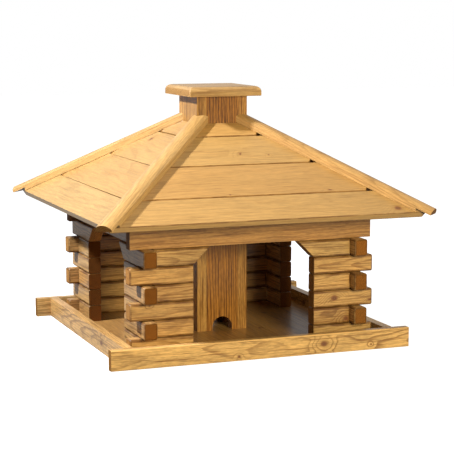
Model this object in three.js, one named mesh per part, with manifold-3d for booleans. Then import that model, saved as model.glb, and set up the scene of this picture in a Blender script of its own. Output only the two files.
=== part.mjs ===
// Log cabin bird feeder with a central seed silo, in millimetres, +Z up.
// The origin is the centre of the underside of the tray, and -Y is the front.
// The house is square: four doorways, four corners of stacked logs, a pyramid roof of planks,
// and a square silo that stands on the floor and comes out of the roof as a chimney with a lid.

import * as THREE from 'three';
import { mergeVertices } from 'three/addons/utils/BufferGeometryUtils.js';
import Module from 'manifold-3d';

const wasm = await Module();
wasm.setup();

// Tray
const RAIL_LENGTH = 560;
const RAIL_THICKNESS = 16;
const RAIL_HEIGHT = 36;
const TRAY_WIDTH = 506;
const TRAY_DEPTH = 524;
const FLOOR_THICKNESS = 10;

// Log walls
const LOG_HEIGHT = 31;
const LOG_THICKNESS = 24.5;
const LOG_EASING = 2.5;
const LOG_OVERHANG = 19.5;
const LEVELS = 6;
const WALL_HALF = 211;
const DOORWAY_WIDTH = 229;
const CORNER_JOIN = 1;

// Header boards above the doorways
const HEADER_LENGTH = 456;
const HEADER_THICKNESS = 20;
const HEADER_HALF = 205;

// Silo and its lid
const SILO_SIDE = 98;
const SILO_BOARD = 18;
const SILO_TOP = 447;
const FEED_ARCH_WIDTH = 39;
const FEED_ARCH_HEIGHT = 26;
const ARCH_SEGMENTS = 12;
const LID_SIDE = 140;
const LID_THICKNESS = 18;
const LID_ROUNDING = 10;
const LID_ROUNDING_STEPS = 4;
const PLUG_CLEARANCE = 1;
const PLUG_HEIGHT = 12;

// Roof
const EAVE_HALF = 288.4;
const EAVE_UNDERSIDE = 239;
const ROOF_AT_SILO = 398;
const PLANK_THICKNESS = 12;
const PLANK_SEAMS = [0, 42.5, 129.5, 219];
const SEAM_GAP = 1.2;
const HIP_STRIP_WIDTH = 31;
const HIP_STRIP_HEIGHT = 12;
const HIP_STRIP_EDGE = 5;
const HIP_STRIP_SKIRT = 5.5;
const HIP_STRIP_OVERHANG = 12;
const HIP_ARC_SEGMENTS = 10;

const FIT_GAP = 0.3;

// Heights and lengths that follow from the ones above
const WALL_TOP = FLOOR_THICKNESS + LEVELS * LOG_HEIGHT;
const SILO_HALF = SILO_SIDE / 2;
const ROOF_PITCH = roofPitch();
const ROOF_SLOPE_LENGTH = (EAVE_HALF - SILO_HALF) / Math.cos(ROOF_PITCH)
  + PLANK_THICKNESS * Math.tan(ROOF_PITCH);

const pine = {
  rail: new THREE.Color(0.66, 0.42, 0.19),
  log: new THREE.Color(0.72, 0.47, 0.22),
  header: new THREE.Color(0.55, 0.34, 0.16),
  silo: new THREE.Color(0.5, 0.27, 0.1),
  roof: new THREE.Color(0.86, 0.6, 0.3),
  floor: new THREE.Color(0.45, 0.26, 0.11),
};

const house = new THREE.Group();
const lid = new THREE.Group();

// The pitch at which planks of the stated thickness run from the eave's lower edge
// to the stated height at the silo's face.
function roofPitch() {
  const run = EAVE_HALF - SILO_HALF;
  const rise = ROOF_AT_SILO - EAVE_UNDERSIDE;
  const reach = Math.hypot(run, rise);
  return Math.atan2(rise, run) - Math.asin(PLANK_THICKNESS / reach);
}

function varnishedPine(color) {
  return new THREE.MeshStandardMaterial({ color, roughness: 0.5, metalness: 0 });
}

function addPiece(group, name, geometry, color) {
  const mesh = new THREE.Mesh(geometry, varnishedPine(color));
  mesh.name = name;
  group.add(mesh);
  return mesh;
}

function box(low, high) {
  const size = high.map((value, i) => value - low[i]);
  const middle = high.map((value, i) => (value + low[i]) / 2);
  return new THREE.BoxGeometry(...size).translate(...middle);
}

// A box whose eight corners are moved to corner(i, j, k), with i, j and k each 0 or 1.
function block(corner) {
  const geometry = new THREE.BoxGeometry(1, 1, 1);
  const position = geometry.attributes.position;
  for (let n = 0; n < position.count; n += 1) {
    const side = [position.getX(n), position.getY(n), position.getZ(n)].map((value) => (value > 0 ? 1 : 0));
    position.setXYZ(n, ...corner(...side));
  }
  return geometry;
}

function toSolid(geometry) {
  const bare = geometry.clone();
  bare.deleteAttribute('normal');
  bare.deleteAttribute('uv');
  const merged = mergeVertices(bare, 1e-4);
  return new wasm.Manifold(new wasm.Mesh({
    numProp: 3,
    vertProperties: new Float32Array(merged.attributes.position.array),
    triVerts: new Uint32Array(merged.index.array),
  }));
}

function toGeometry(solid) {
  const mesh = solid.getMesh();
  const geometry = new THREE.BufferGeometry();
  geometry.setAttribute('position', new THREE.BufferAttribute(mesh.vertProperties, 3));
  geometry.setIndex(new THREE.BufferAttribute(mesh.triVerts, 1));
  geometry.computeVertexNormals();
  return geometry;
}

// The tray: front and back rails run past the side rails at both ends.
function addTray() {
  const half = { x: TRAY_WIDTH / 2, y: TRAY_DEPTH / 2 };
  const inner = { x: half.x - RAIL_THICKNESS, y: half.y - RAIL_THICKNESS };
  addPiece(
    house,
    'floor_panel',
    box([-inner.x, -inner.y, 0], [inner.x, inner.y, FLOOR_THICKNESS]),
    pine.floor,
  );
  const rails = {
    rail_front: box([-RAIL_LENGTH / 2, -half.y, 0], [RAIL_LENGTH / 2, -inner.y, RAIL_HEIGHT]),
    rail_back: box([-RAIL_LENGTH / 2, inner.y, 0], [RAIL_LENGTH / 2, half.y, RAIL_HEIGHT]),
    rail_left: box([-half.x, -inner.y, 0], [-inner.x, inner.y, RAIL_HEIGHT]),
    rail_right: box([inner.x, -inner.y, 0], [half.x, inner.y, RAIL_HEIGHT]),
  };
  for (const [name, geometry] of Object.entries(rails)) {
    addPiece(house, name, geometry, pine.rail);
  }
}

// The section of a log in the plane across its length, with its four long edges eased.
function logSection() {
  const shape = new THREE.Shape();
  const [w, h, e] = [LOG_THICKNESS, LOG_HEIGHT, LOG_EASING];
  shape.moveTo(e, 0);
  shape.lineTo(w - e, 0);
  shape.lineTo(w, e);
  shape.lineTo(w, h - e);
  shape.lineTo(w - e, h);
  shape.lineTo(e, h);
  shape.lineTo(0, h - e);
  shape.lineTo(0, e);
  shape.closePath();
  return shape;
}

// A log along +X from x0 to x1, with its outer face on y = 0 and its body towards +Y.
function logAlongX(x0, x1) {
  const length = x1 - x0;
  const geometry = new THREE.ExtrudeGeometry(logSection(), { depth: length, bevelEnabled: false });
  geometry.rotateX(Math.PI / 2);
  geometry.rotateZ(Math.PI / 2);
  geometry.translate(x0, 0, 0);
  return geometry;
}

// The wedge that slants the top log's doorway end at 45 degrees: it takes what lies
// nearer the doorway than a line from (jamb, 0) to (jamb - LOG_HEIGHT, LOG_HEIGHT).
function doorwaySlant(jamb) {
  const reach = 4 * LOG_HEIGHT;
  const wedge = new THREE.Shape();
  wedge.moveTo(jamb + 1, -1);
  wedge.lineTo(jamb - LOG_HEIGHT - 1, LOG_HEIGHT + 1);
  wedge.lineTo(jamb - reach, LOG_HEIGHT + 1);
  wedge.lineTo(jamb - reach, -1);
  wedge.closePath();
  const geometry = new THREE.ExtrudeGeometry(wedge, { depth: 3 * LOG_THICKNESS, bevelEnabled: false });
  geometry.rotateX(Math.PI / 2);
  geometry.translate(0, 2 * LOG_THICKNESS, 0);
  return geometry;
}

// One arm of a corner course, in the +X part of a wall whose outer face is y = -WALL_HALF.
// A running arm goes past the corner, and a butting arm stops at the running log's inner face.
function courseArm(level, runs) {
  const jamb = DOORWAY_WIDTH / 2;
  const slanted = level === LEVELS - 1;
  const start = slanted ? jamb - LOG_HEIGHT : jamb;
  const end = runs ? WALL_HALF + LOG_OVERHANG : WALL_HALF - LOG_THICKNESS + CORNER_JOIN;
  let arm = toSolid(logAlongX(start, end));
  if (slanted) {
    arm = arm.subtract(toSolid(doorwaySlant(jamb)));
  }
  return toGeometry(arm).translate(0, -WALL_HALF, 0);
}

// The course at the front right corner: a front arm along X and a side arm along Y.
// Even levels run past the corner in the front and back walls, odd ones in the side walls.
function cornerCourse(level) {
  const frontRuns = level % 2 === 0;
  const frontArm = courseArm(level, frontRuns);
  const sideArm = courseArm(level, !frontRuns);
  sideArm.scale(-1, 1, 1);
  sideArm.index.array.reverse();
  sideArm.rotateZ(Math.PI / 2);
  return toSolid(frontArm).add(toSolid(sideArm));
}

function addWalls() {
  const corners = {
    front_right: [1, 1],
    back_right: [1, -1],
    back_left: [-1, -1],
    front_left: [-1, 1],
  };
  for (let level = 0; level < LEVELS; level += 1) {
    const course = cornerCourse(level);
    for (const [corner, [sx, sy]] of Object.entries(corners)) {
      const geometry = toGeometry(course);
      geometry.scale(sx, sy, 1);
      if (sx * sy < 0) {
        geometry.index.array.reverse();
      }
      geometry.computeVertexNormals();
      const mesh = addPiece(house, `logs_${corner}_${level + 1}`, geometry, pine.log);
      mesh.position.z = FLOOR_THICKNESS + level * LOG_HEIGHT;
    }
  }
}

// The space under the roof planks: a square pyramid, FIT_GAP below their undersides.
function underRoof() {
  const drop = FIT_GAP / Math.cos(ROOF_PITCH);
  const height = EAVE_HALF * Math.tan(ROOF_PITCH);
  const pyramid = new THREE.ConeGeometry(EAVE_HALF * Math.SQRT2, height, 4);
  pyramid.rotateX(Math.PI / 2);
  pyramid.rotateZ(Math.PI / 4);
  pyramid.translate(0, 0, EAVE_UNDERSIDE + height / 2 - drop);
  const lower = box([-EAVE_HALF, -EAVE_HALF, 0], [EAVE_HALF, EAVE_HALF, EAVE_UNDERSIDE - drop + 0.01]);
  return toSolid(pyramid).add(toSolid(lower));
}

// Header boards close the wall above the doorways and carry the planks on bevelled tops.
function addHeaders() {
  const space = underRoof();
  const inner = HEADER_HALF - HEADER_THICKNESS;
  const ends = HEADER_LENGTH / 2;
  const top = ROOF_AT_SILO;
  const boards = {
    header_front: box([-ends, -HEADER_HALF, WALL_TOP], [ends, -inner, top]),
    header_back: box([-ends, inner, WALL_TOP], [ends, HEADER_HALF, top]),
    header_left: box([-HEADER_HALF, -inner, WALL_TOP], [-inner, inner, top]),
    header_right: box([inner, -inner, WALL_TOP], [HEADER_HALF, inner, top]),
  };
  for (const [name, board] of Object.entries(boards)) {
    addPiece(house, name, toGeometry(toSolid(board).intersect(space)), pine.header);
  }
}

// A silo board with the seed arch cut in its foot, standing on z = 0, with its outer face on y = 0.
function siloBoard(width) {
  const board = new THREE.Shape();
  const height = SILO_TOP - FLOOR_THICKNESS;
  const radius = FEED_ARCH_WIDTH / 2;
  const spring = FEED_ARCH_HEIGHT - radius;
  board.moveTo(-width / 2, 0);
  board.lineTo(-radius, 0);
  board.lineTo(-radius, spring);
  board.absarc(0, spring, radius, Math.PI, 0, true);
  board.lineTo(radius, 0);
  board.lineTo(width / 2, 0);
  board.lineTo(width / 2, height);
  board.lineTo(-width / 2, height);
  board.closePath();
  const geometry = new THREE.ExtrudeGeometry(board, {
    depth: SILO_BOARD,
    bevelEnabled: false,
    curveSegments: ARCH_SEGMENTS,
  });
  geometry.rotateX(Math.PI / 2);
  geometry.translate(0, SILO_BOARD, 0);
  return geometry;
}

// The side boards are full width, and the front and back boards fit between them.
function addSilo() {
  const narrow = SILO_SIDE - 2 * SILO_BOARD;
  const sides = {
    silo_front: [narrow, 0],
    silo_right: [SILO_SIDE, 1],
    silo_back: [narrow, 2],
    silo_left: [SILO_SIDE, 3],
  };
  for (const [name, [width, quarter]] of Object.entries(sides)) {
    const geometry = siloBoard(width).translate(0, -SILO_HALF, FLOOR_THICKNESS);
    const turned = new THREE.Group();
    turned.rotation.z = quarter * Math.PI / 2;
    addPiece(turned, name, geometry, pine.silo);
    house.add(turned);
  }
}

// Height of the planks' upper surface at a distance m from the axis, straight out from a face.
function roofTop(m) {
  return ROOF_AT_SILO - (m - SILO_HALF) * Math.tan(ROOF_PITCH);
}

// A front plank between two distances down the slope, measured on its upper surface from the silo.
// Its ends are mitred on the hips, and its long edges are square to the slope.
function roofPlank(upper, lower) {
  const cos = Math.cos(ROOF_PITCH);
  const sin = Math.sin(ROOF_PITCH);
  return block((i, j, k) => {
    const onTop = k === 1;
    const isUpper = j === 1;
    const atSilo = isUpper && upper === 0;
    let m = SILO_HALF + (isUpper ? upper : lower) * cos;
    if (atSilo) {
      m = SILO_HALF + FIT_GAP;
    } else if (!onTop) {
      m -= PLANK_THICKNESS * sin;
    }
    const z = roofTop(m) - (onTop ? 0 : PLANK_THICKNESS / cos);
    const x = (i === 1 ? 1 : -1) * (m - FIT_GAP);
    return [x, -m, z];
  });
}

function addRoofPlanks() {
  const faces = ['front', 'right', 'back', 'left'];
  faces.forEach((face, quarter) => {
    const turned = new THREE.Group();
    turned.rotation.z = quarter * Math.PI / 2;
    PLANK_SEAMS.forEach((seam, row) => {
      const isLowest = row === PLANK_SEAMS.length - 1;
      const upper = row === 0 ? 0 : seam + SEAM_GAP / 2;
      const lower = isLowest ? ROOF_SLOPE_LENGTH : PLANK_SEAMS[row + 1] - SEAM_GAP / 2;
      addPiece(turned, `roof_plank_${face}_${row + 1}`, roofPlank(upper, lower), pine.roof);
    });
    house.add(turned);
  });
}

// The roof's outer faces as one pyramid, raised by FIT_GAP and carried on past the eaves.
function roofPyramid(half) {
  const height = half * Math.tan(ROOF_PITCH);
  const pyramid = new THREE.ConeGeometry(half * Math.SQRT2, height, 4);
  pyramid.rotateX(Math.PI / 2);
  pyramid.rotateZ(Math.PI / 4);
  pyramid.translate(0, 0, roofTop(half) + height / 2 + FIT_GAP / Math.cos(ROOF_PITCH));
  return toSolid(pyramid);
}

// The domed section of a hip strip, with the hip's line at its origin.
function hipStripSection() {
  const half = HIP_STRIP_WIDTH / 2;
  const rise = HIP_STRIP_HEIGHT - HIP_STRIP_EDGE;
  const radius = (half * half + rise * rise) / (2 * rise);
  const sweep = Math.asin(half / radius);
  const section = new THREE.Shape();
  section.moveTo(-half, -HIP_STRIP_SKIRT);
  section.lineTo(half, -HIP_STRIP_SKIRT);
  section.lineTo(half, HIP_STRIP_EDGE);
  section.absarc(0, HIP_STRIP_HEIGHT - radius, radius, Math.PI / 2 - sweep, Math.PI / 2 + sweep, false);
  section.closePath();
  return section;
}

// Hip strips lie on the four hips, from the silo's corners to past the eaves' corners.
// Their undersides are hollowed to fit over the hip, and flat where they reach past the eaves.
function addHipStrips() {
  const eave = SILO_HALF + ROOF_SLOPE_LENGTH * Math.cos(ROOF_PITCH);
  const start = new THREE.Vector3(SILO_HALF / 2, -SILO_HALF / 2, roofTop(SILO_HALF / 2));
  const corner = new THREE.Vector3(eave, -eave, roofTop(eave));
  const down = corner.clone().sub(start);
  const length = down.length() + HIP_STRIP_OVERHANG;
  down.normalize();
  const across = new THREE.Vector3(1, 1, 0).normalize();
  const up = new THREE.Vector3().crossVectors(down, across);
  const strip = new THREE.ExtrudeGeometry(hipStripSection(), {
    depth: length,
    bevelEnabled: false,
    curveSegments: HIP_ARC_SEGMENTS,
  });
  const belowFlat = box(
    [-HIP_STRIP_WIDTH, -HIP_STRIP_HEIGHT, 0],
    [HIP_STRIP_WIDTH, FIT_GAP, length + 1],
  );
  const onHip = new THREE.Matrix4().makeBasis(across, up, down).setPosition(start);
  strip.applyMatrix4(onHip);
  belowFlat.applyMatrix4(onHip);
  const reach = SILO_HALF + FIT_GAP;
  const silo = box([-reach, -reach, 0], [reach, reach, SILO_TOP]);
  const withinEaves = box([-eave, -eave, 0], [eave, eave, SILO_TOP]);
  const pastEaves = toSolid(belowFlat).subtract(toSolid(withinEaves));
  const fitted = toSolid(strip)
    .subtract(toSolid(silo))
    .subtract(roofPyramid(eave + HIP_STRIP_OVERHANG))
    .subtract(pastEaves);
  const notched = toGeometry(fitted);
  const corners = ['front_right', 'back_right', 'back_left', 'front_left'];
  corners.forEach((name, quarter) => {
    const turned = new THREE.Group();
    turned.rotation.z = quarter * Math.PI / 2;
    addPiece(turned, `hip_strip_${name}`, notched.clone(), pine.roof);
    house.add(turned);
  });
}

// The lid is a square board with its upper edges rounded over, and a plug below that
// drops into the silo's mouth.
function addLid() {
  const board = new THREE.BoxGeometry(LID_SIDE, LID_SIDE, 1, 1, 1, LID_ROUNDING_STEPS + 1);
  const position = board.attributes.position;
  const straight = LID_THICKNESS - LID_ROUNDING;
  for (let n = 0; n < position.count; n += 1) {
    const row = Math.round((position.getZ(n) + 0.5) * (LID_ROUNDING_STEPS + 1));
    const angle = Math.max(row - 1, 0) / LID_ROUNDING_STEPS * Math.PI / 2;
    const inset = LID_ROUNDING * (1 - Math.cos(angle));
    const half = LID_SIDE / 2 - inset;
    const height = row === 0 ? 0 : straight + LID_ROUNDING * Math.sin(angle);
    position.setXYZ(n, Math.sign(position.getX(n)) * half, Math.sign(position.getY(n)) * half, height);
  }
  addPiece(lid, 'lid_board', board, pine.roof).position.z = SILO_TOP;
  const plug = SILO_HALF - SILO_BOARD - PLUG_CLEARANCE;
  addPiece(
    lid,
    'lid_plug',
    box([-plug, -plug, SILO_TOP - PLUG_HEIGHT], [plug, plug, SILO_TOP]),
    pine.silo,
  );
}

addTray();
addWalls();
addHeaders();
addSilo();
addRoofPlanks();
addHipStrips();
addLid();

const birdFeeder = new THREE.Group();
birdFeeder.add(house, lid);

export default birdFeeder;
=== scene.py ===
"""A log cabin bird feeder of varnished pine, with a tray, a plank roof and a seed silo with a lid.

Every piece is a board, plank, log or strip that lies along its own X axis with its show face
towards its own +Z, so that one solid pine material can run its grain along each of them.
"""

import math
import random

import bmesh
import bpy
from mathutils import Matrix, Vector


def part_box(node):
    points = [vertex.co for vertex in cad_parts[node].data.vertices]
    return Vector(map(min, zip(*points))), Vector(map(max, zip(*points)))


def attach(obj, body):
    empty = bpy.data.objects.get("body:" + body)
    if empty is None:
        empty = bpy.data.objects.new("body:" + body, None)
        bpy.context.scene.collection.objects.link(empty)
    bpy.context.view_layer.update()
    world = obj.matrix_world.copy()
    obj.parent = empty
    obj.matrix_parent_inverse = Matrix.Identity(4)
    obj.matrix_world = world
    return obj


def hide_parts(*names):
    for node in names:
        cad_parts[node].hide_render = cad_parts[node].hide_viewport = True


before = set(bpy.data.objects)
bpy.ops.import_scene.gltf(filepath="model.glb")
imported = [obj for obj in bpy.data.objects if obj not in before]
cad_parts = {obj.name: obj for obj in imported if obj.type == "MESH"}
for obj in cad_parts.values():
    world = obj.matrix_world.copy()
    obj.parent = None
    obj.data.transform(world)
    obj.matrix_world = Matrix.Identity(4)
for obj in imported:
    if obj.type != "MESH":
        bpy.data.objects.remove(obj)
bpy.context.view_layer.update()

X = Vector((1, 0, 0))
Y = Vector((0, 1, 0))
Z = Vector((0, 0, 1))

# The boards of each side run along its first direction and show their face to its second
SIDES = {
    "front": (X, -Y),
    "back": (-X, Y),
    "left": (-Y, -X),
    "right": (Y, X),
}

# Each corner, with its sign in x and in y
CORNERS = (
    ("front_right", 1, -1),
    ("back_right", 1, 1),
    ("back_left", -1, 1),
    ("front_left", -1, -1),
)

# The logs, the gaps between pieces, and how far a broken plank tip reached, in metres
LOG_THICKNESS = 0.0245
LOG_GAP = 0.0006
STAVE_GAP = 0.0003
TIP_ALONG_SEAM = 0.032
TIP_ALONG_HIP = 0.028

# How wide the rounding of each kind of edge is, in metres, and how full its curve is
LOG_EASING = 0.0038
LOG_END_EASING = 0.0030
SAWN_EDGE = 0.0005
BOARD_EDGE = 0.0012
STAVE_EDGE = 0.0008
RAIL_EDGE = 0.0022
PLANK_EDGE = 0.0016
HIP_STRIP_EDGE = 0.0006
LID_EDGE = 0.0015
PLUG_EDGE = 0.0010
EDGE_PROFILE = 0.6

# Points nearer than these are the same, or are at the same level
WELD = 1e-5
LEVEL = 1e-4

# A log's edges farther than this from its corner end belong to its doorway end
DOORWAY_END = 0.02

FLOOR_STAVES = 6
LOG_LEVELS = 6
PLANK_ROWS = 4
ROUGH_SAWN_LOG = "log_front_left_4_side"

# Edges above the first angle are rounded, those below the second shade smoothly, and faces
# within the third are one
SHARP = math.radians(25)
SMOOTH = math.radians(40)
FLAT = math.radians(1)

# The cosine above which an edge counts as running along an axis
NEARLY_PARALLEL = 0.9

# A knot's place along and across its board, and its radius
RAIL_KNOT = (0.112, 0.0, 0.0045)
NO_KNOT = (9, 9, 0.004)

# Knots by chance: cells along and across the board for each metre, and how uneven their rims are
KNOT_CELLS = (7.5, 17, 0)
KNOT_RAGGED = 0.0022

# Radians of the wave of saw strokes for each metre across a sawn end
SAW_STROKES = 1250.0

# Painted highlight on edges, against early wood, and painted shade on edges, against late wood
EDGE_HIGHLIGHT = 1.12
EDGE_SHADE = 0.75

# How the camera stands to the object
CAMERA_TARGET = Vector((0.0285, 0.0, 0.1966))
CAMERA_AZIMUTH = math.radians(-20.94)
CAMERA_ELEVATION = math.radians(8.01)
CAMERA_DISTANCE = 2.916
CAMERA_LENS = 122.3
CAMERA_SENSOR = 36

# How far the studio's floor reaches from the middle, in metres
FLOOR_REACH = 8

# Linear colours of the wood, by kind of piece: early wood, late wood, sawn end
WOOD = {
    "floor": ((0.40, 0.212, 0.058), (0.14, 0.050, 0.009), (0.19, 0.075, 0.013)),
    "rail": ((0.66, 0.392, 0.132), (0.18, 0.070, 0.011), (0.28, 0.125, 0.022)),
    "wall log": ((0.51, 0.290, 0.094), (0.17, 0.065, 0.011), (0.42, 0.20, 0.050)),
    "side log": ((0.51, 0.290, 0.094), (0.17, 0.065, 0.011), (0.25, 0.090, 0.016)),
    # The header is darker than the wall logs: painted shade from the eave above it
    "header": ((0.39, 0.203, 0.062), (0.15, 0.06, 0.012), (0.22, 0.09, 0.020)),
    "silo": ((0.33, 0.133, 0.022), (0.080, 0.024, 0.003), (0.20, 0.075, 0.012)),
    "silo side": ((0.40, 0.200, 0.047), (0.15, 0.055, 0.008), (0.24, 0.10, 0.022)),
    "roof": ((0.45, 0.256, 0.076), (0.23, 0.100, 0.020), (0.24, 0.11, 0.030)),
    "hip_strip": ((0.48, 0.272, 0.086), (0.21, 0.095, 0.019), (0.20, 0.092, 0.024)),
    "lid": ((0.43, 0.245, 0.083), (0.20, 0.090, 0.020), (0.31, 0.16, 0.048)),
}

chance = random.Random(7)


# ---------------------------------------------------------------- the pine material


class Wires:
    """Adds nodes to a tree and joins them, in short calls that give back output sockets."""

    def __init__(self, tree):
        self.tree = tree

    def node(self, kind, **settings):
        made = self.tree.nodes.new(kind)
        for name, value in settings.items():
            setattr(made, name, value)
        return made

    def feed(self, socket, value):
        if isinstance(value, bpy.types.NodeSocket):
            self.tree.links.new(value, socket)
        else:
            socket.default_value = value

    def math(self, operation, *values):
        made = self.node("ShaderNodeMath", operation=operation)
        for socket, value in zip(made.inputs, values):
            self.feed(socket, value)
        return made.outputs[0]

    def vector(self, operation, a, b=(0, 0, 0)):
        made = self.node("ShaderNodeVectorMath", operation=operation)
        self.feed(made.inputs[0], a)
        if operation == "SCALE":
            self.feed(made.inputs["Scale"], b)
        elif operation not in ("LENGTH", "ABSOLUTE"):
            self.feed(made.inputs[1], b)
        return made.outputs["Value" if operation == "LENGTH" else "Vector"]

    def split(self, vector):
        made = self.node("ShaderNodeSeparateXYZ")
        self.feed(made.inputs[0], vector)
        return made.outputs

    def join(self, x, y, z):
        made = self.node("ShaderNodeCombineXYZ")
        for socket, value in zip(made.inputs, (x, y, z)):
            self.feed(socket, value)
        return made.outputs[0]

    def noise(self, place, stretch, detail=2.0):
        """Soft noise whose features are 1 / stretch metres long on each axis."""
        made = self.node("ShaderNodeTexNoise")
        self.feed(made.inputs["Vector"], self.vector("MULTIPLY", place, stretch))
        made.inputs["Scale"].default_value = 1.0
        made.inputs["Detail"].default_value = detail
        return made.outputs

    def ease(self, value, low, high, start=0.0, end=1.0):
        """start below low and end above high, with a smooth step between them."""
        made = self.node("ShaderNodeMapRange", interpolation_type="SMOOTHSTEP")
        for name, number in (
            ("Value", value),
            ("From Min", low),
            ("From Max", high),
            ("To Min", start),
            ("To Max", end),
        ):
            self.feed(made.inputs[name], number)
        return made.outputs[0]

    def mix(self, factor, a, b):
        made = self.node("ShaderNodeMix", data_type="RGBA")
        self.feed(made.inputs["Factor"], factor)
        self.feed(made.inputs[6], a)
        self.feed(made.inputs[7], b)
        return made.outputs[2]


def pine_group():
    """Solid pine: rings about a pith, knots, fibres, sawn ends, and edges painted with highlight or
    shade, in metres.
    """
    tree = bpy.data.node_groups.new("varnished pine", "ShaderNodeTree")
    colour, number, vector = "NodeSocketColor", "NodeSocketFloat", "NodeSocketVector"
    for name, kind in (
        ("Early", colour),
        ("Late", colour),
        ("End", colour),
        ("Edge", colour),
        ("Seed", vector),
        ("Pith", vector),
        ("Tilt", vector),
        ("Knot", vector),
        ("Wander", number),
        ("Ring", number),
        ("Contrast", number),
        ("Knots", number),
        ("Saw", number),
    ):
        tree.interface.new_socket(name, in_out="INPUT", socket_type=kind)
    for name, kind in (
        ("Color", colour),
        ("Roughness", number),
        ("Gloss", number),
        ("Coat", number),
        ("Normal", vector),
    ):
        tree.interface.new_socket(name, in_out="OUTPUT", socket_type=kind)
    w = Wires(tree)
    given = w.node("NodeGroupInput").outputs
    coordinate = w.node("ShaderNodeTexCoord").outputs
    place = coordinate["Object"]
    on_board = w.split(place)
    seeded = w.vector("ADD", place, given["Seed"])

    # Where this point is in the tree: its distance from a pith that wanders a little
    drift = w.vector("SUBTRACT", w.noise(seeded, (4.5, 8, 8))["Color"], (0.5, 0.5, 0.5))
    in_tree = w.vector("SUBTRACT", place, given["Pith"])
    in_tree = w.vector("ADD", in_tree, w.vector("SCALE", given["Tilt"], on_board["X"]))
    in_tree = w.vector("ADD", in_tree, w.vector("SCALE", drift, given["Wander"]))
    in_tree = w.vector("MULTIPLY", in_tree, (0, 1, 1))
    from_pith = w.vector("LENGTH", in_tree)

    # Knots run through the show face, and the rings bend around them
    in_cells = w.vector("MULTIPLY", seeded, KNOT_CELLS)
    cells = w.node("ShaderNodeTexVoronoi")
    w.feed(cells.inputs["Vector"], in_cells)
    cells.inputs["Scale"].default_value = 1.0
    luck = w.split(cells.outputs["Color"])
    away = w.vector("SUBTRACT", cells.outputs["Position"], in_cells)
    away = w.vector("MULTIPLY", away, (0.8 / KNOT_CELLS[0], 1 / KNOT_CELLS[1], 0))
    ragged = w.math("MULTIPLY", w.noise(seeded, (90, 90, 90))["Fac"], KNOT_RAGGED)
    ragged = w.math("SUBTRACT", ragged, KNOT_RAGGED / 2)
    knot_size = w.ease(luck["X"], 0, 1, 0.0016, 0.0052)
    to_knot = w.math("DIVIDE", w.math("ADD", w.vector("LENGTH", away), ragged), knot_size)
    has_knot = w.math("LESS_THAN", luck["Y"], given["Knots"])

    # One more knot, at a chosen place, with its radius in the third number
    chosen = w.split(given["Knot"])
    aside = w.vector("SUBTRACT", place, w.join(chosen["X"], chosen["Y"], 0.0))
    aside = w.vector("LENGTH", w.vector("MULTIPLY", aside, (0.7, 1, 0)))
    to_chosen = w.math("DIVIDE", w.math("ADD", aside, ragged), chosen["Z"])
    is_chosen = w.math("LESS_THAN", to_chosen, 6.0)
    to_knot = w.ease(is_chosen, 0, 1, to_knot, to_chosen)
    knot_size = w.ease(is_chosen, 0, 1, knot_size, chosen["Z"])
    has_knot = w.math("MAXIMUM", has_knot, is_chosen)
    knot = w.math("MULTIPLY", has_knot, w.ease(to_knot, 0.8, 1.15, 1, 0))
    halo = w.math("MULTIPLY", has_knot, w.ease(to_knot, 0.9, 2.4, 1, 0))
    swirl = w.math("MULTIPLY", has_knot, w.ease(to_knot, 0.5, 5.5, 1, 0))
    swirl = w.math("MULTIPLY", swirl, w.math("MULTIPLY", knot_size, 2.0))

    # Early wood darkens slowly to late wood, then stops at a line
    unsteady = w.math("MULTIPLY", w.noise(seeded, (14, 80, 80), 3)["Fac"], 1.1)
    rings = w.math("DIVIDE", w.math("ADD", from_pith, swirl), given["Ring"])
    turn = w.math("FRACT", w.math("ADD", rings, unsteady))
    late = w.math("MULTIPLY", w.ease(turn, 0.45, 0.9), w.ease(turn, 0.92, 1.0, 1, 0))
    bold = w.ease(w.noise(seeded, (5, 22, 22))["Fac"], 0.32, 0.64, 0.3, 1)
    line_strength = w.math("MULTIPLY", given["Contrast"], 0.8)
    line = w.math("MULTIPLY", w.math("MULTIPLY", late, bold), line_strength)

    # Fibres, dark streaks, flecks and broad patches vary the wood between the lines
    fibres = w.noise(seeded, (30, 700, 700), 3)["Fac"]
    streaks = w.noise(seeded, (11, 400, 400), 3)["Fac"]
    patches = w.noise(seeded, (7, 28, 28), 3)["Fac"]
    tint = w.mix(line, given["Early"], given["Late"])
    streaked = w.math("MULTIPLY", w.ease(streaks, 0.49, 0.68, 0, 0.8), given["Contrast"])
    tint = w.mix(streaked, tint, given["Late"])
    flecks = w.noise(seeded, (90, 420, 420))["Fac"]
    patchy = w.ease(patches, 0.3, 0.7, -0.16, 0.16)
    flecked = w.ease(flecks, 0.3, 0.7, -0.16, 0.16)
    mottled = w.math("MULTIPLY", w.math("ADD", patchy, flecked), given["Contrast"])
    shade = w.math("ADD", w.ease(fibres, 0.3, 0.7, 0.88, 1.12), mottled)
    tint = w.vector("SCALE", tint, shade)

    # Knots are dark and reddish, with rings of their own
    inner = w.math("PINGPONG", w.math("MULTIPLY", to_knot, 2.6), 1.0)
    knot_tint = w.mix(inner, (0.24, 0.085, 0.024, 1), (0.09, 0.03, 0.012, 1))
    tint = w.mix(w.math("MULTIPLY", halo, 0.35), tint, given["Late"])
    tint = w.mix(w.math("MULTIPLY", knot, 0.85), tint, knot_tint)

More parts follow.
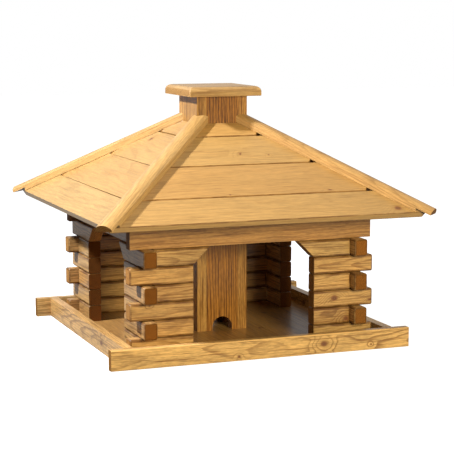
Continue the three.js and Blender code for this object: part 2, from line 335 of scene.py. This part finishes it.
    # Sawn ends drink the varnish: rings, saw strokes and fine checks
    facing = w.vector("ABSOLUTE", coordinate["Normal"])
    end = w.ease(w.split(facing)["X"], 0.8, 0.95)
    diagonal = w.math("ADD", on_board["Y"], on_board["Z"])
    strokes = w.math("SINE", w.math("MULTIPLY", diagonal, SAW_STROKES))
    strokes = w.math("MULTIPLY", w.ease(strokes, -0.4, 0.6), given["Saw"])
    spread = w.split(in_tree)
    bearing = w.math("MULTIPLY", w.math("ARCTAN2", spread["Z"], spread["Y"]), 4.0)
    wedges = w.node("ShaderNodeTexVoronoi", feature="DISTANCE_TO_EDGE")
    w.feed(wedges.inputs["Vector"], w.join(bearing, w.math("MULTIPLY", from_pith, 30.0), 0.0))
    wedges.inputs["Scale"].default_value = 1.0
    check = w.ease(wedges.outputs["Distance"], 0.0, 0.03, 0.6, 0)
    speckle = w.noise(seeded, (120, 800, 800))["Fac"]
    dark_end = w.vector("SCALE", given["End"], 0.5)
    end_tint = w.mix(w.math("MULTIPLY", late, 0.55), given["End"], dark_end)
    end_tint = w.mix(w.math("MAXIMUM", strokes, check), end_tint, dark_end)
    end_tint = w.vector("SCALE", end_tint, w.ease(speckle, 0.3, 0.7, 0.8, 1.2))
    tint = w.mix(end, tint, end_tint)

    # Edges are painted pale as a highlight, or painted dark as shade in the grooves where two
    # pieces meet, in patches
    edge = w.node("ShaderNodeAttribute", attribute_name="edge").outputs["Fac"]
    edge_paint_patches = w.ease(w.noise(seeded, (35, 60, 60))["Fac"], 0.35, 0.62, 0.35, 0.9)
    tint = w.mix(w.math("MULTIPLY", edge, edge_paint_patches), tint, given["Edge"])

    # Late wood shines a little more and stands a little proud. Ends are dull
    rough = w.math("ADD", w.ease(fibres, 0.3, 0.7, 0.38, 0.5), w.math("MULTIPLY", line, -0.06))
    rough = w.math("ADD", rough, w.math("MULTIPLY", end, 0.2))
    height = w.math("ADD", w.math("MULTIPLY", line, 0.55), w.math("MULTIPLY", fibres, 0.4))
    height = w.math("SUBTRACT", height, w.math("MULTIPLY", end, w.math("MAXIMUM", strokes, check)))
    bump = w.node("ShaderNodeBump")
    bump.inputs["Strength"].default_value = 0.5
    bump.inputs["Distance"].default_value = 0.0003
    w.feed(bump.inputs["Height"], height)

    result = w.node("NodeGroupOutput").inputs
    w.feed(result["Color"], tint)
    w.feed(result["Roughness"], rough)
    w.feed(result["Gloss"], w.ease(end, 0, 1, 0.38, 0.12))
    w.feed(result["Coat"], w.ease(end, 0, 1, 0.35, 0.0))
    w.feed(result["Normal"], bump.outputs["Normal"])
    return tree


def pine(
    name,
    kind,
    pith=(0, -0.045),
    wander=0.016,
    ring=0.0036,
    contrast=0.6,
    knots=0.2,
    knot=NO_KNOT,
    saw=0.2,
    stained=False,
    tones=0.05,
):
    """The material of one board, cut from its own place in a tree.

    pith: where the tree's centre passes, across the board and above or below its middle
    wander: how far that centre strays
    ring: how wide a growth ring is
    contrast: how strongly late wood and mottling show
    knots: the share of cells that hold a knot
    knot: one more knot, at a chosen place
    saw: how strong the saw strokes on the ends are
    stained: edges painted dark as shade, in place of a painted highlight
    tones: how far boards of this kind differ in brightness
    """
    early, late, end = WOOD[kind]
    # The edge colour is a painted highlight from the early wood, or painted shade from the late
    # wood
    edge = [EDGE_SHADE * part for part in late] if stained else [EDGE_HIGHLIGHT * part for part in early]
    tone = chance.uniform(1 - tones, 1 + tones)
    warmth = chance.uniform(0.95, 1.05)
    material = bpy.data.materials.new(name)
    material.use_nodes = True
    nodes = material.node_tree.nodes
    shader = nodes["Principled BSDF"]
    wood = nodes.new("ShaderNodeGroup")
    wood.node_tree = PINE
    for key, (r, g, b) in (("Early", early), ("Late", late), ("End", end), ("Edge", edge)):
        wood.inputs[key].default_value = (r * tone, g * tone * warmth, b * tone * warmth**2, 1)
    wood.inputs["Seed"].default_value = [chance.uniform(-20, 20) for _ in range(3)]
    wood.inputs["Pith"].default_value = (
        0,
        pith[0] + chance.uniform(-0.012, 0.012),
        pith[1] + chance.uniform(-0.01, 0.01),
    )
    wood.inputs["Tilt"].default_value = (
        0,
        chance.uniform(-0.03, 0.03),
        chance.uniform(-0.05, 0.05),
    )
    wood.inputs["Knot"].default_value = knot
    wood.inputs["Wander"].default_value = wander
    wood.inputs["Ring"].default_value = ring * chance.uniform(0.8, 1.25)
    wood.inputs["Contrast"].default_value = contrast
    wood.inputs["Knots"].default_value = knots
    wood.inputs["Saw"].default_value = saw
    links = material.node_tree.links
    links.new(wood.outputs["Color"], shader.inputs["Base Color"])
    links.new(wood.outputs["Roughness"], shader.inputs["Roughness"])
    links.new(wood.outputs["Gloss"], shader.inputs["Specular IOR Level"])
    links.new(wood.outputs["Coat"], shader.inputs["Coat Weight"])
    links.new(wood.outputs["Normal"], shader.inputs["Normal"])
    shader.inputs["Coat Roughness"].default_value = 0.25
    return material


# ---------------------------------------------------------------- making pieces


def box_solid(low, high):
    solid = bmesh.new()
    bmesh.ops.create_cube(solid, size=1)
    size = high - low
    for vert in solid.verts:
        vert.co = Vector(low[i] + (vert.co[i] + 0.5) * size[i] for i in range(3))
    return solid


def node_solid(node):
    """The welded solid of a CAD node, with its triangles merged into flat faces."""
    solid = bmesh.new()
    solid.from_mesh(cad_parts[node].data)
    bmesh.ops.remove_doubles(solid, verts=solid.verts, dist=WELD)
    bmesh.ops.dissolve_limit(solid, angle_limit=FLAT, verts=solid.verts, edges=solid.edges)
    return solid


def cut(solid, point, outward):
    """Takes away what lies beyond a plane, and closes the cut."""
    everything = solid.verts[:] + solid.edges[:] + solid.faces[:]
    bmesh.ops.bisect_plane(
        solid, geom=everything, plane_co=point, plane_no=outward, clear_outer=True
    )
    opened = [edge for edge in solid.edges if edge.is_boundary]
    bmesh.ops.holes_fill(solid, edges=opened)


def resting_frame(solid, along, out):
    """The matrix of a piece that lies along its X, with its show face towards its Z."""
    low = Vector(min(v.co[i] for v in solid.verts) for i in range(3))
    high = Vector(max(v.co[i] for v in solid.verts) for i in range(3))
    matrix = Matrix((along, out.cross(along), out)).transposed().to_4x4()
    matrix.translation = (low + high) / 2
    return matrix


def round_over(solid, edges, width, segments=2):
    """Rounds these edges and marks the new faces, where the material paints a highlight or shade.
    """
    edge_mark = solid.faces.layers.float["edge"]
    made = bmesh.ops.bevel(
        solid,
        geom=edges,
        offset=width,
        segments=segments,
        profile=EDGE_PROFILE,
        affect="EDGES",
        clamp_overlap=True,
    )
    for face in made["faces"]:
        face[edge_mark] = 1.0


def sharp_edges(solid):
    """The edges that stand out. Those in a hollow are left as they are."""
    outer = [edge for edge in solid.edges if edge.is_manifold and edge.is_convex]
    return [edge for edge in outer if edge.calc_face_angle(0) > SHARP]


def finish_piece(name, solid, matrix, body, slot, material, *nodes):
    """Puts a finished solid in the scene, in place of its CAD nodes."""
    bmesh.ops.recalc_face_normals(solid, faces=solid.faces)
    mesh = bpy.data.meshes.new(name)
    solid.to_mesh(mesh)
    solid.free()
    mesh.shade_smooth()
    mesh.set_sharp_from_angle(angle=SMOOTH)
    mesh.materials.append(material)
    piece = bpy.data.objects.new(name, mesh)
    bpy.context.scene.collection.objects.link(piece)
    piece.matrix_world = matrix
    weights = piece.modifiers.new("flat faces stay flat", "WEIGHTED_NORMAL")
    weights.keep_sharp = True
    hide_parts(*nodes)
    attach(piece, body)
    return piece


def add_board(
    name,
    solid,
    along,
    out,
    slot,
    nodes,
    edge=BOARD_EDGE,
    body="house",
    kind=None,
    **wood,
):
    """A board with all its outer edges rounded by the same small width."""
    matrix = resting_frame(solid, along, out)
    solid.transform(matrix.inverted())
    solid.faces.layers.float.new("edge")
    round_over(solid, sharp_edges(solid), edge)
    material = pine(name, kind or slot, **wood)
    return finish_piece(name, solid, matrix, body, slot, material, *nodes)


def runs_along_x(edge):
    start, end = edge.verts
    return abs((start.co - end.co).normalized().x) > NEARLY_PARALLEL


def add_log(name, solid, along, out, node, **wood):
    """A log that runs away from the doorway. It is well rounded, apart from its doorway end."""
    matrix = resting_frame(solid, along, out)
    solid.transform(matrix.inverted())
    solid.faces.layers.float.new("edge")
    far = max(v.co.x for v in solid.verts)
    lengthwise = [edge for edge in solid.edges if runs_along_x(edge)]
    round_over(solid, lengthwise, LOG_EASING, 3)
    at_end = [e for e in sharp_edges(solid) if min(v.co.x for v in e.verts) > far - WELD]
    round_over(solid, at_end, LOG_END_EASING, 3)
    at_doorway = [e for e in sharp_edges(solid) if max(v.co.x for v in e.verts) < far - DOORWAY_END]
    round_over(solid, at_doorway, SAWN_EDGE, 1)
    return finish_piece(name, solid, matrix, "house", "log", pine(name, **wood), node)


# ---------------------------------------------------------------- the object


def add_tray():
    """A floor of glued staves, with a rail along each side."""
    low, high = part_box("floor_panel")
    width = (high.x - low.x) / FLOOR_STAVES
    for n in range(FLOOR_STAVES):
        left = low.x + n * width
        solid = box_solid(
            Vector((left + STAVE_GAP / 2, low.y, low.z)),
            Vector((left + width - STAVE_GAP / 2, high.y, high.z)),
        )
        name = f"floor_stave_{n + 1}"
        add_board(name, solid, Y, Z, "floor", ["floor_panel"], STAVE_EDGE, knots=0.5)
    for side, (along, out) in SIDES.items():
        node = f"rail_{side}"
        add_board(
            node,
            node_solid(node),
            along,
            out,
            "rail",
            [node],
            RAIL_EDGE,
            pith=(0.0, -0.034),
            wander=0.028 if side in ("front", "back") else 0.01,
            ring=0.0030,
            contrast=0.9,
            knots=0.06,
            knot=RAIL_KNOT,
        )


def add_walls():
    for corner, sx, sy in CORNERS:
        for level in range(1, LOG_LEVELS + 1):
            add_corner_course(corner, sx, sy, level)


def add_corner_course(corner, sx, sy, level):
    """Two logs, of which one runs past the corner and one butts against it.

    The wall log lies along the front or back, and the side log along the left or right. The log
    that butts is in line with the one above or below it that runs past.
    """
    node = f"logs_{corner}_{level}"
    low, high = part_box(node)
    near_x, far_x = (low.x, high.x) if sx > 0 else (high.x, low.x)
    near_y, far_y = (low.y, high.y) if sy > 0 else (high.y, low.y)
    wall_log_runs_past = level % 2 == 1
    if wall_log_runs_past:
        inner = far_y - sy * LOG_THICKNESS
        side_face = outer_face(corner, level + 1, 0, sx)
        wall_box = (near_x, far_x, inner, far_y)
        side_box = (side_face - sx * LOG_THICKNESS, side_face, near_y, inner)
    else:
        inner = far_x - sx * LOG_THICKNESS
        wall_face = outer_face(corner, level - 1, 1, sy)
        wall_box = (near_x, inner, wall_face - sy * LOG_THICKNESS, wall_face)
        side_box = (inner, far_x, near_y, far_y)
    for arm, (x0, x1, y0, y1) in (("wall", wall_box), ("side", side_box)):
        solid = box_solid(
            Vector((min(x0, x1), min(y0, y1), low.z)),
            Vector((max(x0, x1), max(y0, y1), high.z - LOG_GAP)),
        )
        along, out = (sx * X, sy * Y) if arm == "wall" else (sy * Y, sx * X)
        if level == LOG_LEVELS:
            # The top logs are cut at 45 degrees at the doorway
            cut(solid, Vector((near_x, near_y, high.z)), -along - Z)
        name = f"log_{corner}_{level}_{arm}"
        saw = chance.choice((0.1, 0.15, 0.2, 0.5))
        add_log(
            name,
            solid,
            along,
            out,
            node,
            kind=f"{arm} log",
            pith=(chance.uniform(-0.01, 0.01), chance.uniform(-0.03, -0.008)),
            wander=0.011,
            ring=0.0028,
            contrast=0.8,
            knots=0.25,
            saw=1.0 if name == ROUGH_SAWN_LOG else saw,
            stained=True,
            tones=0.1,
        )


def outer_face(corner, level, axis, sign):
    """The outer face, on one axis, of the log that runs past the corner at this level."""
    low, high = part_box(f"logs_{corner}_{level}")
    return (high if sign > 0 else low)[axis]


def add_headers():
    for side, (along, out) in SIDES.items():
        node = f"header_{side}"
        add_board(
            node,
            node_solid(node),
            along,
            out,
            "header",
            [node],
            pith=(0.02, -0.05),
            ring=0.0042,
            contrast=0.8,
        )


def add_silo():
    for side in ("front", "right", "back", "left"):
        node = f"silo_{side}"
        add_board(
            node,
            node_solid(node),
            Z,
            SIDES[side][1],
            "silo",
            [node],
            kind="silo side" if side in ("left", "right") else "silo",
            stained=True,
            pith=(0.05, -0.02),
            wander=0.008,
            ring=0.0044,
            contrast=1.0,
            knots=0.05,
        )


def add_roof():
    """Planks with rounded edges, counted from the top.

    On three sides all but the lowest have lost their fragile lower tip at one end.
    """
    pitch = roof_pitch()
    for side, broken_end in (("front", 1), ("right", 1), ("back", 0), ("left", -1)):
        along, level_out = SIDES[side]
        out = level_out * math.sin(pitch) + Z * math.cos(pitch)
        upslope = out.cross(along)
        for row in range(1, PLANK_ROWS + 1):
            node = f"roof_plank_{side}_{row}"
            solid = node_solid(node)
            if row < PLANK_ROWS and broken_end:
                break_tip(solid, along * broken_end, upslope, out)
            add_board(
                node,
                solid,
                along,
                out,
                "roof",
                [node],
                PLANK_EDGE,
                pith=(chance.uniform(-0.04, 0.04), -0.06),
                wander=0.024,
                ring=0.0042,
                contrast=0.32,
                knots=0.2,
                stained=True,
            )


def roof_pitch():
    """The slope of the roof, from the largest face of a front plank that looks upwards."""
    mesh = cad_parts["roof_plank_front_3"].data
    top = max(mesh.polygons, key=lambda face: (face.normal.z > 0.1) * face.area)
    return math.atan2(-top.normal.y, top.normal.z)


def break_tip(solid, towards, upslope, out):
    """Cuts off the sharp lower corner of a plank at the end that lies towards a direction."""
    top = max(v.co.dot(out) for v in solid.verts)
    surface = [v.co for v in solid.verts if v.co.dot(out) > top - LEVEL]
    lowest = min(co.dot(upslope) for co in surface)
    tip = max((co for co in surface if co.dot(upslope) < lowest + LEVEL), key=towards.dot)
    hip = max((co for co in surface if co.dot(upslope) > lowest + 10 * LEVEL), key=towards.dot)
    start = tip - towards * TIP_ALONG_SEAM
    end = tip + (hip - tip).normalized() * TIP_ALONG_HIP
    outward = (end - start).cross(out).normalized()
    if outward.dot(tip - start) < 0:
        outward.negate()
    cut(solid, start, outward)


def add_hip_strips():
    fall = math.atan(math.tan(roof_pitch()) / math.sqrt(2))
    for corner, sx, sy in CORNERS:
        node = f"hip_strip_{corner}"
        run = Vector((sx, sy, 0)).normalized()
        add_board(
            node,
            node_solid(node),
            run * math.cos(fall) - Z * math.sin(fall),
            run * math.sin(fall) + Z * math.cos(fall),
            "hip_strip",
            [node],
            HIP_STRIP_EDGE,
            pith=(0.01, -0.03),
            ring=0.0036,
            contrast=0.45,
            knots=0.1,
        )


def add_lid():
    add_board(
        "lid_board",
        node_solid("lid_board"),
        X,
        Z,
        "lid",
        ["lid_board"],
        LID_EDGE,
        "lid",
        pith=(0.01, -0.04),
        knots=0.3,
    )
    plug = node_solid("lid_plug")
    add_board("lid_plug", plug, X, -Z, "silo", ["lid_plug"], PLUG_EDGE, "lid")


# ---------------------------------------------------------------- the studio


def aim(thing, place, target):
    """Puts a lamp or a camera in the scene, turned towards a point."""
    thing.location = place
    thing.rotation_euler = (target - place).to_track_quat("-Z", "Y").to_euler()
    bpy.context.scene.collection.objects.link(thing)


def add_area_light(name, place, target, size, power, colour):
    light = bpy.data.lights.new(name, "AREA")
    light.shape = "RECTANGLE"
    light.size, light.size_y = size
    light.energy = power
    light.color = colour
    lamp = bpy.data.objects.new(name, light)
    aim(lamp, Vector(place), Vector(target))
    return lamp


def add_lights():
    """A small key light from the upper left, and a wide warm fill from the front."""
    add_area_light(
        "key",
        place=(-1.05, -0.04, 1.13),
        target=(0, 0, 0.2),
        size=(0.08, 0.08),
        power=36.5,
        colour=(1.0, 1.03, 1.16),
    )
    fill = add_area_light(
        "fill",
        place=(0.08, -2.3, 0.7),
        target=(0, 0, 0.15),
        size=(0.5, 0.6),
        power=54,
        colour=(1.0, 0.93, 0.72),
    )
    fill.visible_glossy = False


def add_world():
    """White to the camera. The varnish mirrors a room that is brighter in front than behind.

    The room also lights the object a little, most of all from behind on the right, where the
    lamps don't reach.
    """
    world = bpy.data.worlds.new("white studio")
    world.use_nodes = True
    w = Wires(world.node_tree)
    seen = w.node("ShaderNodeLightPath").outputs
    direction = w.split(w.node("ShaderNodeTexCoord").outputs["Generated"])
    mirrored = w.ease(direction["Y"], -0.1, 0.5, 0.75, 0.5)
    behind = w.math("ADD", direction["X"], direction["Y"])
    ambient = w.ease(behind, 0.0, 1.2, 0.05, 0.45)
    room = w.ease(seen["Is Glossy Ray"], 0, 1, ambient, mirrored)
    background = world.node_tree.nodes["Background"].inputs
    background["Color"].default_value = (1, 1, 1, 1)
    w.feed(background["Strength"], w.ease(seen["Is Camera Ray"], 0, 1, room, 1))
    bpy.context.scene.world = world


def add_floor():
    """Full white away from the object, and a little less under it, so that a soft shadow shows."""
    plane = bpy.data.meshes.new("floor")
    around = ((-1, -1), (1, -1), (1, 1), (-1, 1))
    corners = [(FLOOR_REACH * x, FLOOR_REACH * y, 0) for x, y in around]
    plane.from_pydata(corners, [], [(0, 1, 2, 3)])
    material = bpy.data.materials.new("pale floor")
    material.use_nodes = True
    shader = material.node_tree.nodes["Principled BSDF"]
    shader.inputs["Base Color"].default_value = (0.5, 0.5, 0.5, 1)
    shader.inputs["Roughness"].default_value = 0.9
    shader.inputs["Specular IOR Level"].default_value = 0.0
    shader.inputs["Emission Color"].default_value = (1, 1, 1, 1)
    w = Wires(material.node_tree)
    away = w.vector("LENGTH", w.node("ShaderNodeTexCoord").outputs["Object"])
    w.feed(shader.inputs["Emission Strength"], w.ease(away, 0.3, 0.75, 0.93, 1.0))
    plane.materials.append(material)
    floor = bpy.data.objects.new("floor", plane)
    bpy.context.scene.collection.objects.link(floor)
    floor.visible_diffuse = False
    floor.visible_glossy = False


def add_camera():
    level = math.cos(CAMERA_ELEVATION)
    towards = Vector((
        math.sin(CAMERA_AZIMUTH) * level,
        -math.cos(CAMERA_AZIMUTH) * level,
        math.sin(CAMERA_ELEVATION),
    ))
    lens = bpy.data.cameras.new("camera")
    lens.sensor_width = CAMERA_SENSOR
    lens.lens = CAMERA_LENS
    camera = bpy.data.objects.new("camera", lens)
    aim(camera, CAMERA_TARGET + towards * CAMERA_DISTANCE, CAMERA_TARGET)
    bpy.context.scene.camera = camera


PINE = pine_group()
add_camera()
add_lights()
add_world()
add_floor()
add_tray()
add_walls()
add_headers()
add_silo()
add_roof()
add_hip_strips()
add_lid()

bpy.context.scene.view_settings.view_transform = "Standard"
bpy.context.view_layer.update()
